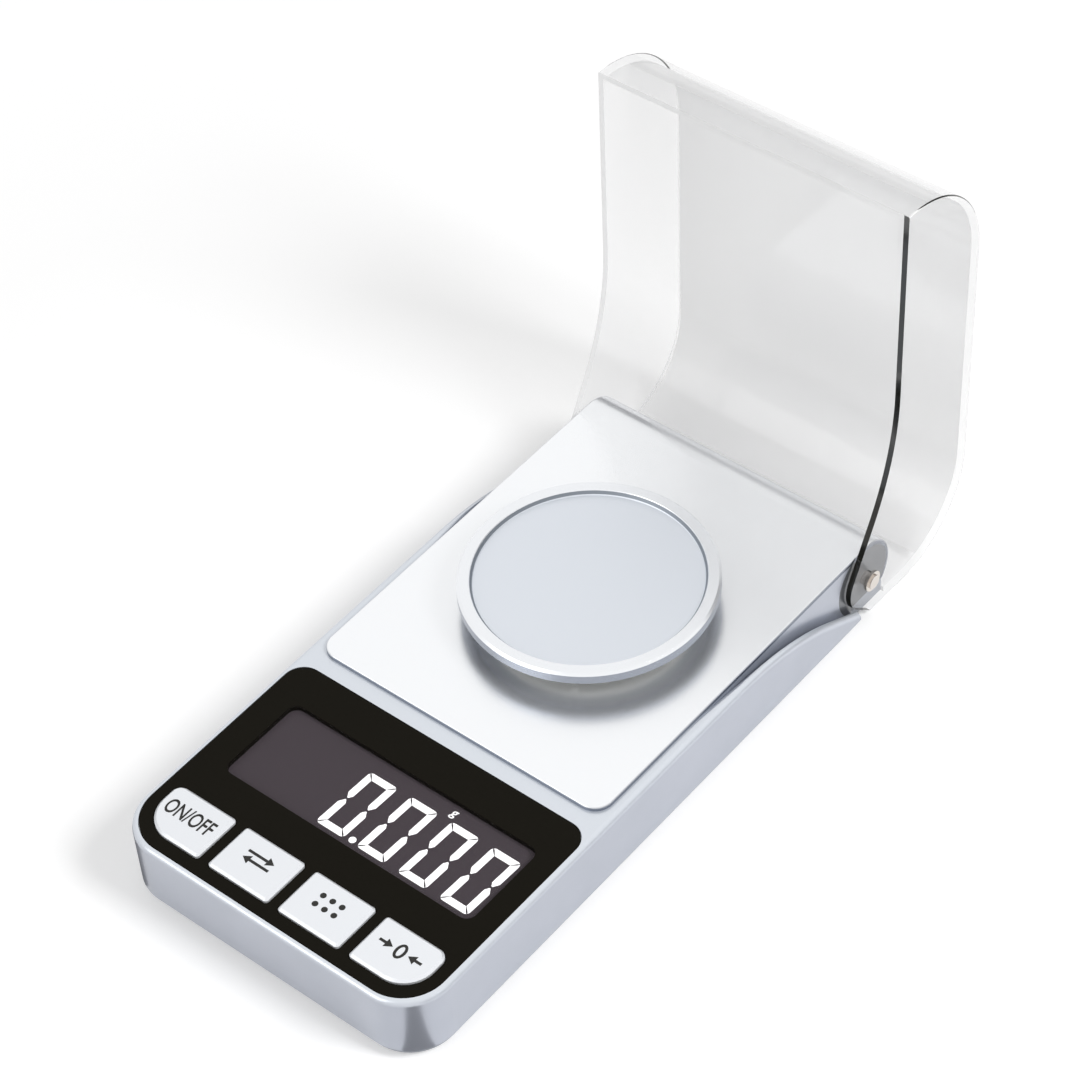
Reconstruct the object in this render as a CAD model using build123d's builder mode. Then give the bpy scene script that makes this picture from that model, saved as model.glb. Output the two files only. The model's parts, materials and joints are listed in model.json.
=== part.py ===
"""Pocket precision scale with a hinged clear lid, a keypad, a readout and a round pan.

Frame: millimetres, Z up. The origin is under the middle of the casing, on the plane that the
rubber feet stand on. Y runs from the keys (front) to the hinge (rear), and X to the right.
The lid is modelled open, as it stands in use, and closes by turning about the hinge line.
"""

from build123d import *
from math import acos, asin, atan2, cos, degrees, hypot, radians, sin, sqrt
import os

os.makedirs("parts", exist_ok=True)

# Casing, outside
casing_width = 62.0
casing_length = 122.8
front_corner_radius = 8.5
foot_proud = 0.6
cover_depth = 1.9
ledge_height = 11.8
rim_fillet = 1.0
side_wall = 1.8
inner_wall = 1.4
casing_deck = 1.4
panel_shelf = 1.2

# Platform and rear roll
platform_thickness = 0.8
platform_front_setback = 46.43
platform_corner_radius = 3.3
platform_edge_fillet = 0.35
roll_radius = 6.8

# Side ledge that dips towards the hinge
swoop_reach = 42.8
swoop_radius = 51.0
swoop_turn = 28.1
cove_reach = 56.2
cove_radius = 92.6
parting_rise = 1.5

# Bottom cover
cover_inset = 0.6
cover_chamfer = 0.7
cover_floor = 1.5
cover_rear_setback = 2.15
cover_lip = 1.2
lip_rise = 1.6

# Display panel
panel_thickness = 1.0
panel_side_gap = 1.17
panel_front_gap = 1.11
panel_length = 42.03
panel_front_radius = 7.5
panel_rear_radius = 3.5
window_left_gap = 5.23
window_right_gap = 4.03
window_length = 16.85
window_rear_gap = 7.16
window_radius = 1.8

# Keys
key_names = ["on_off", "mode", "count", "tare"]
key_side_gap = 2.205
key_spacing = 2.15
key_length = 9.1
key_front_gap = 2.34
key_proud = 0.7
key_bevel = 0.4
key_corner = 0.6
key_outer_corner = 5.5
key_outer_rear_corner = 1.7
key_travel = 0.4
key_flange = 0.45
key_flange_thickness = 0.6
key_stem_radius = 1.6

# Lid
lid_side_inset = 0.9
lid_wall = 1.0
lid_edge_fillet = 0.25
lid_height = 20.5
lid_front_lip = 1.0
lid_front_radius = 19.5
lid_rear_radius = 17.0
lid_rear_reach = 7.6
lid_rear_wall_foot = 5.4
lid_heel_rise = 0.5
lid_front_setback = 0.21
lid_opening_angle = 92.2

# Hinge pins
pin_radius = 1.3
pin_head_radius = 1.9
pin_head_thickness = 0.45
pin_depth = 4.45
pin_boss_radius = 2.8

# Weighing pan and what carries it
pan_forward_shift = 0.775
pan_radius = 21.4
pan_thickness = 2.0
pan_gap = 4.0
pan_sheet = 0.8
pan_rim = 1.7
pan_recess = 0.8
pan_bevel = 0.4
pan_slope = 0.7
post_radius = 3.2
post_hole_radius = 4.5
post_foot_radius = 4.2
post_foot_thickness = 1.0
spider_radius = 17.0
spider_thickness = 1.2
spider_rib_count = 6
spider_rib_width = 1.2
spider_rib_height = 1.0
bracket_thickness = 1.6
bracket_length = 20.0

# Load cell
cell_width = 12.0
cell_height = 6.0
cell_floor_gap = 1.9
cell_display_gap = 1.36
cell_window_radius = 2.2
cell_window_spacing = 9.0
cell_screw_radius = 1.25
cell_screw_head_radius = 2.3
cell_screw_head = 1.2
cell_screw_spacing = 8.0
cell_screw_edge = 4.5
cell_pan_offset = 5.6
gauge_seal_width = 8.0
gauge_seal_length = 6.4
gauge_seal_thickness = 0.8
stop_gap = 0.3
stop_inset = 0.7
stop_boss_radius = 2.5
cell_notch_gap = 1.5

# Circuit board and display parts
board_thickness = 1.0
board_side_gap = 2.0
board_height = 7.0
board_front_gap = 2.8
board_corner = 6.0
glass_thickness = 1.7
glass_side_margin = 2.0
glass_front_margin = 2.3
glass_rear_margin = 1.7
zebra_width = 1.6
switch_size = 6.0
switch_height = 2.0
switch_button_radius = 1.7
switch_button_proud = 0.7
switch_bore = 1.0
board_screw_length = 3.5
post_board_radius = 1.6
board_post_x = 8.0
board_post_rear_inset = 7.2
post_window_gap = 0.47
board_rear_edge = 1.9
# Each chip: place across, distance behind the board's front edge, width, length, height
processor_chip = (4.0, 24.6, 10.0, 6.0, 1.4)
converter_chip = (-15.0, 20.6, 7.0, 7.0, 1.2)
crystal = (17.0, 18.6, 3.4, 8.0, 1.6)

# Batteries: two AAA cells side by side across the casing
battery_radius = 5.25
battery_end_room = 5.9
battery_nub_radius = 1.9
battery_nub = 0.8
battery_pitch = 11.0
battery_rear_gap = 16.3
battery_shift = 1.75
bay_wall = 1.0
contact_sheet = 0.4
contact_height = 7.0
spring_radius = 2.2
spring_wire_radius = 0.25
spring_turns = 3.5

# Battery door
door_skin = 0.8
door_rebate = 1.0
door_grip_count = 5
door_grip_pitch = 1.6
door_grip_width = 14.0

# Screws and feet
casing_screw_radius = 0.85
casing_screw_head_radius = 1.6
casing_screw_head = 1.1
casing_screw_length = 6.5
casing_boss_radius = 1.6
casing_boss_lift = 1.6
foot_radius = 3.0
foot_recess = 0.4
foot_edge = 0.25
boss_side_inset = 7.0
rear_boss_inset = 10.95
rear_boss_setback = 0.6
front_foot_inset = 7.0
front_foot_setback = 9.0
rear_foot_inset = 3.95
rear_foot_setback = 0.4
screw_head_edge = 0.4

# Wires inside
lead_radius = 0.45
lead_shift = 1.3
lead_shift_run = 3.0
lead_start_bend = 0.6
lead_bend = 2.5
lead_drop_run = 5.0
wire_count = 4
wire_radius = 0.3
wire_pitch = 0.9
wire_start_run = 2.4
wire_bend = 1.6
solder_reach = 2.4

# Clearances
fit_gap = 0.15
key_gap = 0.15
flange_gap = 0.1
pin_running_gap = 0.05
pin_seat_gap = 0.01
screw_gap = 0.01
lid_side_gap = 0.15
lid_rim_gap = 0.15
wall_end_gap = 0.3
layer_gap = 0.1
door_seat_gap = 0.05
match_gap = 0.01

# Heights
cover_face = foot_proud
wall_bottom = cover_face + cover_depth
floor_top = cover_face + cover_floor
ledge_top = wall_bottom + ledge_height
platform_top = ledge_top + platform_thickness
hinge_z = platform_top - roll_radius
ceiling_rear = ledge_top - casing_deck
panel_seat = ledge_top - panel_thickness
ceiling_front = panel_seat - panel_shelf
parting_z = wall_bottom + parting_rise
pan_bottom = platform_top + pan_gap
pan_top = pan_bottom + pan_thickness
cell_bottom = floor_top + cell_floor_gap
cell_top = cell_bottom + cell_height
bracket_top = cell_top + bracket_thickness
board_top = board_height + board_thickness
key_top = ledge_top + key_proud
flange_top = ceiling_front - flange_gap
flange_bottom = flange_top - key_flange_thickness
battery_z = (floor_top + ceiling_rear) / 2

# Widths that follow from the casing's
half_width = casing_width / 2
lid_half_width = half_width - lid_side_inset
platform_half_width = lid_half_width - lid_wall - lid_side_gap
panel_half_width = half_width - panel_side_gap
window_width = 2 * panel_half_width - window_left_gap - window_right_gap
window_centre_x = (window_left_gap - window_right_gap) / 2
key_width = (2 * (panel_half_width - key_side_gap) - (len(key_names) - 1) * key_spacing) / len(key_names)
key_pitch = key_width + key_spacing
key_x = [(index - (len(key_names) - 1) / 2) * key_pitch for index in range(len(key_names))]
board_half_width = half_width - side_wall - board_side_gap
board_notch_half = cell_width / 2 + cell_notch_gap
bay_half_width = platform_half_width - inner_wall - fit_gap - cover_lip - bay_wall
battery_length = 2 * bay_half_width - battery_end_room
pin_inner_end = platform_half_width - pin_depth

# Places along Y
front_y = -casing_length / 2
rear_y = casing_length / 2
hinge_y = rear_y - roll_radius
platform_front = front_y + platform_front_setback
pan_y = (platform_front + hinge_y) / 2 - pan_forward_shift
swoop_y = rear_y - swoop_reach
cove_y = rear_y - cove_reach
cover_rear = rear_y - cover_rear_setback
panel_front = front_y + panel_front_gap
panel_rear = panel_front + panel_length
window_rear = panel_rear - window_rear_gap
window_y = window_rear - window_length / 2
key_y = panel_front + key_front_gap + key_length / 2
brow_centre = (swoop_y, ledge_top - swoop_radius)
slope = radians(swoop_turn)
axis_to_brow = (hinge_y - brow_centre[0]) * sin(slope) + (hinge_z - brow_centre[1]) * cos(slope)
lid_knuckle_radius = axis_to_brow - swoop_radius - lid_rim_gap
wall_end = hinge_y - sqrt(lid_knuckle_radius**2 - (hinge_z - parting_z) ** 2) - wall_end_gap
battery_y = [rear_y - battery_rear_gap - battery_pitch * step for step in (1, 0)]
bay_front = battery_y[0] - battery_radius - fit_gap
bay_rear = battery_y[1] + battery_radius + fit_gap
bay_y = (bay_front + bay_rear) / 2
cell_rear = pan_y + cell_pan_offset
cell_front = window_rear + glass_rear_margin + cell_display_gap
cell_length = cell_rear - cell_front
board_front = front_y + board_front_gap
post_rear_y = window_rear + glass_rear_margin + fit_gap + post_window_gap + post_board_radius
board_rear = post_rear_y + board_rear_edge
post_board_y = key_y + key_length / 2 + key_gap + key_flange + fit_gap + post_board_radius

# Places of repeated pieces
front_boss = (half_width - boss_side_inset, post_board_y)
rear_boss = (platform_half_width - rear_boss_inset, hinge_y + rear_boss_setback)
casing_bosses = [(side * x, y) for x, y in (front_boss, rear_boss) for side in (-1, 1)]
front_foot = (half_width - front_foot_inset, front_y + front_foot_setback)
rear_foot = (platform_half_width - rear_foot_inset, hinge_y + rear_foot_setback)
foot_spots = [(side * x, y) for x, y in (front_foot, rear_foot) for side in (-1, 1)]
board_posts = [(side * board_post_x, post_board_y) for side in (-1, 1)]
board_posts += [(side * (board_half_width - board_post_rear_inset), post_rear_y) for side in (-1, 1)]
cell_fixed_screws = [cell_front + cell_screw_edge + cell_screw_spacing * step for step in (0, 1)]
cell_free_screws = [cell_rear - cell_screw_edge - cell_screw_spacing * step for step in (0, 1)]
stop_y = cell_rear - cell_screw_radius - stop_inset


def finish(builder, name):
    """Label a finished piece and write it to its own file."""
    builder.part.label = name
    export_step(builder.part, f"parts/{name}.step")


def front_rounded_outline(half, front, rear, front_radius, rear_radius=0.0):
    """Plan outline, straight at the sides, with round corners at the front and rear."""
    with BuildSketch(mode=Mode.PRIVATE) as outline:
        with Locations((0, (front + rear) / 2)):
            Rectangle(2 * half, rear - front)
        corners = outline.vertices().group_by(Axis.Y)
        fillet(corners[0], front_radius)
        if rear_radius:
            fillet(outline.vertices().group_by(Axis.Y)[-1], rear_radius)
    return outline.sketch


def swoop_points(start_y, radius, rise=0.0):
    """Centre, radius and end of the brow where a ledge line turns down in the YZ plane.

    The brow starts level at start_y, and rise moves the line square to itself.
    """
    centre = (start_y, ledge_top - radius)
    reach = radius + rise
    brow_end = (start_y + reach * sin(slope), centre[1] + reach * cos(slope))
    return centre, reach, brow_end


def swoop_cutter(start_y, radius):
    """Closed YZ outline of everything above a ledge line, for cutting the side walls."""
    centre, radius, brow_end = swoop_points(start_y, radius)
    run = hinge_y - brow_end[0]
    slope_end = (hinge_y, brow_end[1] - run * sin(slope) / cos(slope))
    with BuildSketch(mode=Mode.PRIVATE) as outline:
        with BuildLine():
            CenterArc(centre, radius, 90, -swoop_turn)
            Polyline(brow_end, slope_end, (hinge_y, platform_top), (start_y, platform_top),
                     (start_y, ledge_top))
        make_face()
    return outline.sketch


def on_casing_rim(edge):
    """True for an edge of the outer walls' top, all the way round the casing."""
    middle = edge @ 0.5
    x, y = abs(middle.X), middle.Y
    inset = half_width - front_corner_radius, front_y + front_corner_radius
    if middle.Z < parting_z or (edge % 0.5).Z > 0.9:
        return False
    if y > inset[1]:
        return x > half_width - match_gap
    if x < inset[0]:
        return y < front_y + match_gap
    return hypot(x - inset[0], y - inset[1]) > front_corner_radius - match_gap


def roll_profile(radius, inner=False):
    """YZ outline of the inner body's top and rear roll, whose rear is round about the hinge line.

    With inner it is the hollow under it, which is open below.
    """
    floor_z = wall_bottom - 1 if inner else parting_z
    front = panel_rear + casing_deck if inner else platform_front
    drop = degrees(asin((hinge_z - parting_z) / (roll_radius - platform_thickness)))
    arc_end = (hinge_y + radius * cos(radians(drop)), hinge_z - radius * sin(radians(drop)))
    with BuildSketch(mode=Mode.PRIVATE) as outline:
        with BuildLine():
            Line((front, hinge_z + radius), (hinge_y, hinge_z + radius))
            CenterArc((hinge_y, hinge_z), radius, 90, -90 - drop)
            if inner:
                Polyline(arc_end, (arc_end[0], floor_z), (front, floor_z), (front, hinge_z + radius))
            else:
                Polyline(arc_end, (wall_end, floor_z), (wall_end, wall_bottom), (front, wall_bottom),
                         (front, hinge_z + radius))
        make_face()
    return outline.sketch


def key_outline(index, grow=0.0):
    """Plan outline of one key about its middle, larger all round by grow.

    The two outer keys follow the panel's round front corners.
    """
    side = -1 if index == 0 else 1
    is_outer = index in (0, len(key_names) - 1)
    with BuildSketch(mode=Mode.PRIVATE) as outline:
        Rectangle(key_width + 2 * grow, key_length + 2 * grow)
        for front in (True, False):
            for outward in (True, False):
                radius = key_corner
                if is_outer and outward:
                    radius = key_outer_corner if front else key_outer_rear_corner
                want_x = side * (1 if outward else -1)
                want_y = -1 if front else 1
                corner = outline.vertices().sort_by(lambda v: v.X * want_x + v.Y * want_y)[-1]
                fillet(corner, radius + grow)
    return outline.sketch


def window_layer(side_margin, front_margin, rear_margin, radius):
    """Plan outline of the readout's window, or of a layer behind it that is larger."""
    with BuildSketch(mode=Mode.PRIVATE) as outline:
        with Locations((window_centre_x, window_y + (rear_margin - front_margin) / 2)):
            RectangleRounded(window_width + 2 * side_margin, window_length + front_margin + rear_margin,
                             radius)
    return outline.sketch


def screw(points, seat, shank_radius, head_radius, head_height, length, up=True):
    """Pan-headed screws at plan points, driven up or down from a seat height."""
    way = 1 if up else -1
    with BuildPart() as screws:
        with BuildSketch(Plane.XY.offset(seat)):
            with Locations(*points):
                Circle(shank_radius)
        extrude(amount=way * length)
        with BuildSketch(Plane.XY.offset(seat)):
            with Locations(*points):
                Circle(head_radius)
        extrude(amount=-way * head_height)
        head_z = seat - way * head_height
        rim = screws.edges().filter_by(GeomType.CIRCLE).filter_by_position(
            Axis.Z, head_z - match_gap, head_z + match_gap)
        fillet(rim, screw_head_edge)
    return screws


def round_wire(points, bends, radius):
    """A round wire along straight runs joined by tangent arcs, with one bend radius a corner."""
    with BuildPart() as wire:
        with BuildLine() as path:
            FilletPolyline(*points, radius=bends)
        with BuildSketch(Plane(origin=path.line @ 0, z_dir=path.line % 0)):
            Circle(radius)
        sweep(path=path.line)
    return wire.part


# Top casing: outer walls with the dipping side ledge, inner body with the hinge ears
with BuildPart() as top_casing:
    with BuildSketch(Plane.XY.offset(wall_bottom)):
        add(front_rounded_outline(half_width, front_y, wall_end, front_corner_radius))
    extrude(amount=ledge_height)
    with BuildSketch(Plane.YZ.offset(-half_width)):
        add(swoop_cutter(swoop_y, swoop_radius))
    extrude(amount=casing_width, mode=Mode.SUBTRACT)
    fillet([edge for edge in top_casing.edges() if on_casing_rim(edge)], rim_fillet)
    # The ledge is hollowed between the round rim and the inner body, deeper towards the hinge
    for side in (1, -1):
        with BuildSketch(Plane.YZ.offset(side * (half_width - rim_fillet))):
            add(swoop_cutter(swoop_y, swoop_radius))
        with BuildSketch(Plane.YZ.offset(side * platform_half_width)):
            add(swoop_cutter(cove_y, cove_radius))
        loft(ruled=True, mode=Mode.SUBTRACT)
    with BuildSketch(Plane.YZ.offset(-platform_half_width)):
        add(roll_profile(roll_radius - platform_thickness))
    extrude(amount=2 * platform_half_width)
    # Hollow, wide under the panel and narrower between the hinge ears
    with BuildSketch(Plane.XY.offset(wall_bottom)):
        add(front_rounded_outline(half_width - side_wall, front_y + side_wall,
                                  cove_y - inner_wall, front_corner_radius - side_wall))
    extrude(amount=ceiling_front - wall_bottom, mode=Mode.SUBTRACT)
    with BuildSketch(Plane.YZ.offset(inner_wall - platform_half_width)):
        add(roll_profile(ceiling_rear - hinge_z, inner=True))
    extrude(amount=2 * (platform_half_width - inner_wall), mode=Mode.SUBTRACT)
    # Seats of the hinge pins
    for side in (1, -1):
        with BuildSketch(Plane.YZ.offset(side * pin_inner_end)):
            with Locations((hinge_y, hinge_z)):
                Circle(pin_boss_radius)
        extrude(amount=side * (platform_half_width - inner_wall - pin_inner_end))
    with BuildSketch(Plane.YZ.offset(-half_width)):
        with Locations((hinge_y, hinge_z)):
            Circle(pin_radius + pin_seat_gap)
    extrude(amount=casing_width, mode=Mode.SUBTRACT)
    # Bosses for the casing screws and posts for the circuit board
    boss_foot = floor_top + casing_boss_lift
    for (x, y), ceiling in zip(casing_bosses, (ceiling_front, ceiling_front, ceiling_rear, ceiling_rear)):
        with BuildSketch(Plane.XY.offset(boss_foot)):
            with Locations((x, y)):
                Circle(casing_boss_radius)
        extrude(amount=ceiling - boss_foot)
    with BuildSketch(Plane.XY.offset(board_top)):
        with Locations(*board_posts):
            Circle(post_board_radius)
    extrude(amount=ceiling_front - board_top)
    with BuildSketch(Plane.XY.offset(boss_foot)):
        with Locations(*casing_bosses, *board_posts):
            Circle(casing_screw_radius + screw_gap)
    extrude(amount=ceiling_front - inner_wall - boss_foot, mode=Mode.SUBTRACT)
    # Recess for the display panel, with openings for the readout and the keys
    with BuildSketch(Plane.XY.offset(panel_seat)):
        add(front_rounded_outline(panel_half_width + fit_gap, panel_front - fit_gap, panel_rear + fit_gap,
                                  panel_front_radius + fit_gap, panel_rear_radius + fit_gap))
    extrude(amount=panel_thickness, mode=Mode.SUBTRACT)
    with BuildSketch(Plane.XY.offset(ceiling_front)):
        add(window_layer(glass_side_margin + fit_gap, glass_front_margin + fit_gap,
                         glass_rear_margin + fit_gap, key_corner))
        for index, x in enumerate(key_x):
            with Locations((x, key_y)):
                add(key_outline(index, key_gap))
    extrude(amount=panel_shelf, mode=Mode.SUBTRACT)
    with BuildSketch(Plane.XY.offset(ceiling_rear)):
        with Locations((0, pan_y)):
            Circle(post_hole_radius)
    extrude(amount=casing_deck, mode=Mode.SUBTRACT)
finish(top_casing, "top_casing")

# Platform: a bright sheet over the deck that wraps round the rear roll
with BuildPart() as platform:
    with BuildSketch(Plane.YZ.offset(-platform_half_width)):
        with BuildLine():
            outer_drop = degrees(asin((hinge_z - parting_z) / roll_radius))
            inner_radius = roll_radius - platform_thickness
            inner_drop = degrees(asin((hinge_z - parting_z) / inner_radius))
            outer_end = hinge_y + roll_radius * cos(radians(outer_drop))
            inner_end = hinge_y + inner_radius * cos(radians(inner_drop))
            Line((platform_front, platform_top), (hinge_y, platform_top))
            CenterArc((hinge_y, hinge_z), roll_radius, 90, -90 - outer_drop)
            Line((outer_end, parting_z), (inner_end, parting_z))
            CenterArc((hinge_y, hinge_z), inner_radius, -inner_drop, 90 + inner_drop)
            Polyline((hinge_y, ledge_top), (platform_front, ledge_top), (platform_front, platform_top))
        make_face()
    extrude(amount=2 * platform_half_width)
    fillet(platform.edges().filter_by(Axis.Z).group_by(Axis.Y)[0], platform_corner_radius)
    with BuildSketch(Plane.XY.offset(ledge_top)):
        with Locations((0, pan_y)):
            Circle(post_hole_radius)
    extrude(amount=platform_thickness, mode=Mode.SUBTRACT)
    top_face = platform.faces().filter_by(Axis.Z).sort_by(Axis.Z)[-1]
    outer_roll = platform.faces().filter_by(GeomType.CYLINDER).filter_by(
        lambda face: abs(face.radius - roll_radius) < match_gap)[0]
    top_rim = [edge for edge in top_face.outer_wire().edges() if (edge @ 0.5).Y < hinge_y - match_gap]
    roll_side = platform_half_width - match_gap
    roll_rim = [edge for edge in outer_roll.edges() if abs((edge @ 0.5).X) > roll_side]
    fillet(top_rim + roll_rim, platform_edge_fillet)
finish(platform, "platform_sheet")

# Bottom cover: a chamfered tray with the battery bay, the load cell's seat and the screw bosses
with BuildPart() as bottom_cover:
    with BuildSketch(Plane.XY.offset(cover_face)):
        add(front_rounded_outline(half_width - cover_inset, front_y + cover_inset, wall_end,
                                  front_corner_radius - cover_inset))
        with Locations((0, (wall_end + cover_rear) / 2)):
            Rectangle(2 * platform_half_width, cover_rear - wall_end)
    extrude(amount=cover_depth)
    chamfer(bottom_cover.faces().sort_by(Axis.Z)[0].edges(), cover_chamfer)
    with BuildSketch(Plane.XY.offset(wall_bottom)):
        with Locations((0, (wall_end + cover_rear) / 2)):
            Rectangle(2 * platform_half_width, cover_rear - wall_end)
    extrude(amount=parting_rise)
    lip_half = platform_half_width - inner_wall - fit_gap
    lip_front = front_y + side_wall + fit_gap
    lip_rear = cover_rear - inner_wall - fit_gap
    lip_radius = front_corner_radius - side_wall - fit_gap
    with BuildSketch(Plane.XY.offset(wall_bottom)):
        add(front_rounded_outline(lip_half, lip_front, lip_rear, lip_radius))
    extrude(amount=lip_rise)
    with BuildSketch(Plane.XY.offset(floor_top)):
        add(front_rounded_outline(lip_half - cover_lip, lip_front + cover_lip, lip_rear - cover_lip,
                                  lip_radius - cover_lip))
    extrude(amount=wall_bottom + lip_rise - floor_top, mode=Mode.SUBTRACT)
    # Battery bay walls
    bay_top = ceiling_rear - inner_wall
    with BuildSketch(Plane.XY.offset(floor_top)):
        with Locations((0, bay_y)):
            Rectangle(2 * (bay_half_width + bay_wall), bay_rear - bay_front + 2 * bay_wall)
            Rectangle(2 * bay_half_width, bay_rear - bay_front, mode=Mode.SUBTRACT)
    extrude(amount=bay_top - floor_top)
    # Door opening with a rebate that the door's skin sits in
    with BuildSketch(Plane.XY.offset(cover_face)):
        with Locations((0, bay_y)):
            Rectangle(2 * (bay_half_width + door_rebate), bay_rear - bay_front + 2 * door_rebate)
    extrude(amount=door_skin, mode=Mode.SUBTRACT)
    with BuildSketch(Plane.XY.offset(cover_face)):
        with Locations((0, bay_y)):
            Rectangle(2 * bay_half_width, bay_rear - bay_front)
    extrude(amount=cover_floor, mode=Mode.SUBTRACT)
    # Seat of the load cell and boss of the overload stop
    seat_length = 2 * cell_screw_edge + cell_screw_spacing
    with BuildSketch(Plane.XY.offset(floor_top)):
        with Locations((0, cell_front + seat_length / 2)):
            Rectangle(cell_width + 2 * bay_wall, seat_length)
    extrude(amount=cell_floor_gap)
    with BuildSketch(Plane.XY.offset(floor_top)):
        with Locations((0, stop_y)):
            Circle(stop_boss_radius)
    extrude(amount=cell_floor_gap / 2)
    with BuildSketch(Plane.XY.offset(floor_top)):
        with Locations((0, stop_y), *[(0, y) for y in cell_fixed_screws]):
            Circle(cell_screw_radius + screw_gap)
    extrude(amount=cell_floor_gap, mode=Mode.SUBTRACT)
    # Screw bosses with their head recesses
    with BuildSketch(Plane.XY.offset(floor_top)):
        with Locations(*casing_bosses):
            Circle(casing_screw_head_radius + fit_gap + bay_wall)
    extrude(amount=casing_boss_lift)
    with BuildSketch(Plane.XY.offset(boss_foot)):
        with Locations(*casing_bosses):
            Circle(casing_boss_radius + fit_gap)
    extrude(amount=lip_rise, mode=Mode.SUBTRACT)
    with BuildSketch(Plane.XY.offset(cover_face)):
        with Locations(*casing_bosses):
            Circle(casing_screw_head_radius + fit_gap)
    extrude(amount=boss_foot - casing_deck - cover_face + layer_gap, mode=Mode.SUBTRACT)
    with BuildSketch(Plane.XY.offset(cover_face)):
        with Locations(*casing_bosses):
            Circle(casing_screw_radius + fit_gap)
    extrude(amount=boss_foot - cover_face, mode=Mode.SUBTRACT)
    # Recesses for the feet
    with BuildSketch(Plane.XY.offset(cover_face)):
        with Locations(*foot_spots):
            Circle(foot_radius + layer_gap)
    extrude(amount=foot_recess, mode=Mode.SUBTRACT)
finish(bottom_cover, "bottom_cover")

# Battery door: a skin in the cover's rebate with a raised inner part and a ribbed grip
with BuildPart() as battery_door:
    skin_top = cover_face + door_skin - door_seat_gap
    with BuildSketch(Plane.XY.offset(cover_face)):
        with Locations((0, bay_y)):
            Rectangle(2 * (bay_half_width + door_rebate - fit_gap),
                      bay_rear - bay_front + 2 * (door_rebate - fit_gap))
    extrude(amount=skin_top - cover_face)
    with BuildSketch(Plane.XY.offset(skin_top)):
        with Locations((0, bay_y)):
            Rectangle(2 * (bay_half_width - fit_gap), bay_rear - bay_front - 2 * fit_gap)
    extrude(amount=floor_top - skin_top)
    with BuildSketch(Plane.XY.offset(cover_face)):
        with Locations((0, bay_rear - door_grip_count * door_grip_pitch / 2)):
            with GridLocations(0, door_grip_pitch, 1, door_grip_count):
                SlotOverall(door_grip_width, door_grip_pitch / 2)
    extrude(amount=door_skin / 2, mode=Mode.SUBTRACT)
finish(battery_door, "battery_door")

# Rubber feet
with BuildPart() as rubber_feet:
    with BuildSketch():
        with Locations(*foot_spots):
            Circle(foot_radius)
    extrude(amount=foot_proud + foot_recess)
    fillet(rubber_feet.edges().group_by(Axis.Z)[0], foot_edge)
finish(rubber_feet, "rubber_feet")

# Screws through the bottom cover into the casing
casing_screws = screw(casing_bosses, boss_foot - casing_deck + layer_gap, casing_screw_radius,
                      casing_screw_head_radius, casing_screw_head, casing_screw_length)
finish(casing_screws, "casing_screws")

# Display panel: black, flush with the ledge, with openings for the window and the keys
with BuildPart() as display_panel:
    with BuildSketch(Plane.XY.offset(panel_seat)):
        add(front_rounded_outline(panel_half_width, panel_front, panel_rear,
                                  panel_front_radius, panel_rear_radius))
        add(window_layer(0, 0, 0, window_radius), mode=Mode.SUBTRACT)
        for index, x in enumerate(key_x):
            with Locations((x, key_y)):
                add(key_outline(index, key_gap), mode=Mode.SUBTRACT)
    extrude(amount=panel_thickness)
finish(display_panel, "display_panel")

with BuildPart() as display_window:
    with BuildSketch(Plane.XY.offset(panel_seat)):
        add(window_layer(-screw_gap, -screw_gap, -screw_gap, window_radius))
    extrude(amount=panel_thickness)
finish(display_window, "display_window")

# Readout: glass, light guide behind it and the rubber connector down to the board
glass_bottom = panel_seat - layer_gap - glass_thickness
with BuildPart() as readout_glass:
    with BuildSketch(Plane.XY.offset(glass_bottom)):
        add(window_layer(glass_side_margin, glass_front_margin, glass_rear_margin, key_corner))
    extrude(amount=glass_thickness)
finish(readout_glass, "readout_glass")

with BuildPart() as light_guide:
    with BuildSketch(Plane.XY.offset(board_top)):
        add(window_layer(glass_side_margin, glass_front_margin - zebra_width - fit_gap,
                         glass_rear_margin, key_corner))
    extrude(amount=glass_bottom - board_top)
finish(light_guide, "backlight")

with BuildPart() as zebra_strip:
    zebra_y = window_y - window_length / 2 - glass_front_margin + zebra_width / 2
    with BuildSketch(Plane.XY.offset(board_top)):
        with Locations((window_centre_x, zebra_y)):
            Rectangle(window_width, zebra_width)
    extrude(amount=glass_bottom - board_top)
finish(zebra_strip, "zebra_connector")

# Circuit board, its parts and its screws
with BuildPart() as main_board:
    with BuildSketch(Plane.XY.offset(board_height)):
        add(front_rounded_outline(board_half_width, board_front, board_rear, board_corner))
        with Locations((0, board_rear)):
            Rectangle(2 * board_notch_half, 2 * (board_rear - cell_front + cell_notch_gap),
                      mode=Mode.SUBTRACT)
        with Locations(*casing_bosses[:2]):
            Circle(casing_boss_radius + 2 * fit_gap, mode=Mode.SUBTRACT)
        with Locations(*board_posts):
            Circle(casing_screw_radius + fit_gap, mode=Mode.SUBTRACT)
    extrude(amount=board_thickness)
finish(main_board, "main_board")

with BuildPart() as board_screws:
    add(screw(board_posts, board_height, casing_screw_radius, casing_screw_head_radius,
              casing_screw_head, board_screw_length).part)
finish(board_screws, "board_screws")

with BuildPart() as circuit_chips:
    for x, setback, width, length, height in (processor_chip, converter_chip, crystal):
        with BuildSketch(Plane.XY.offset(board_height)):
            with Locations((x, board_front + setback)):
                Rectangle(width, length)
        extrude(amount=-height)
finish(circuit_chips, "circuit_chips")

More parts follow.
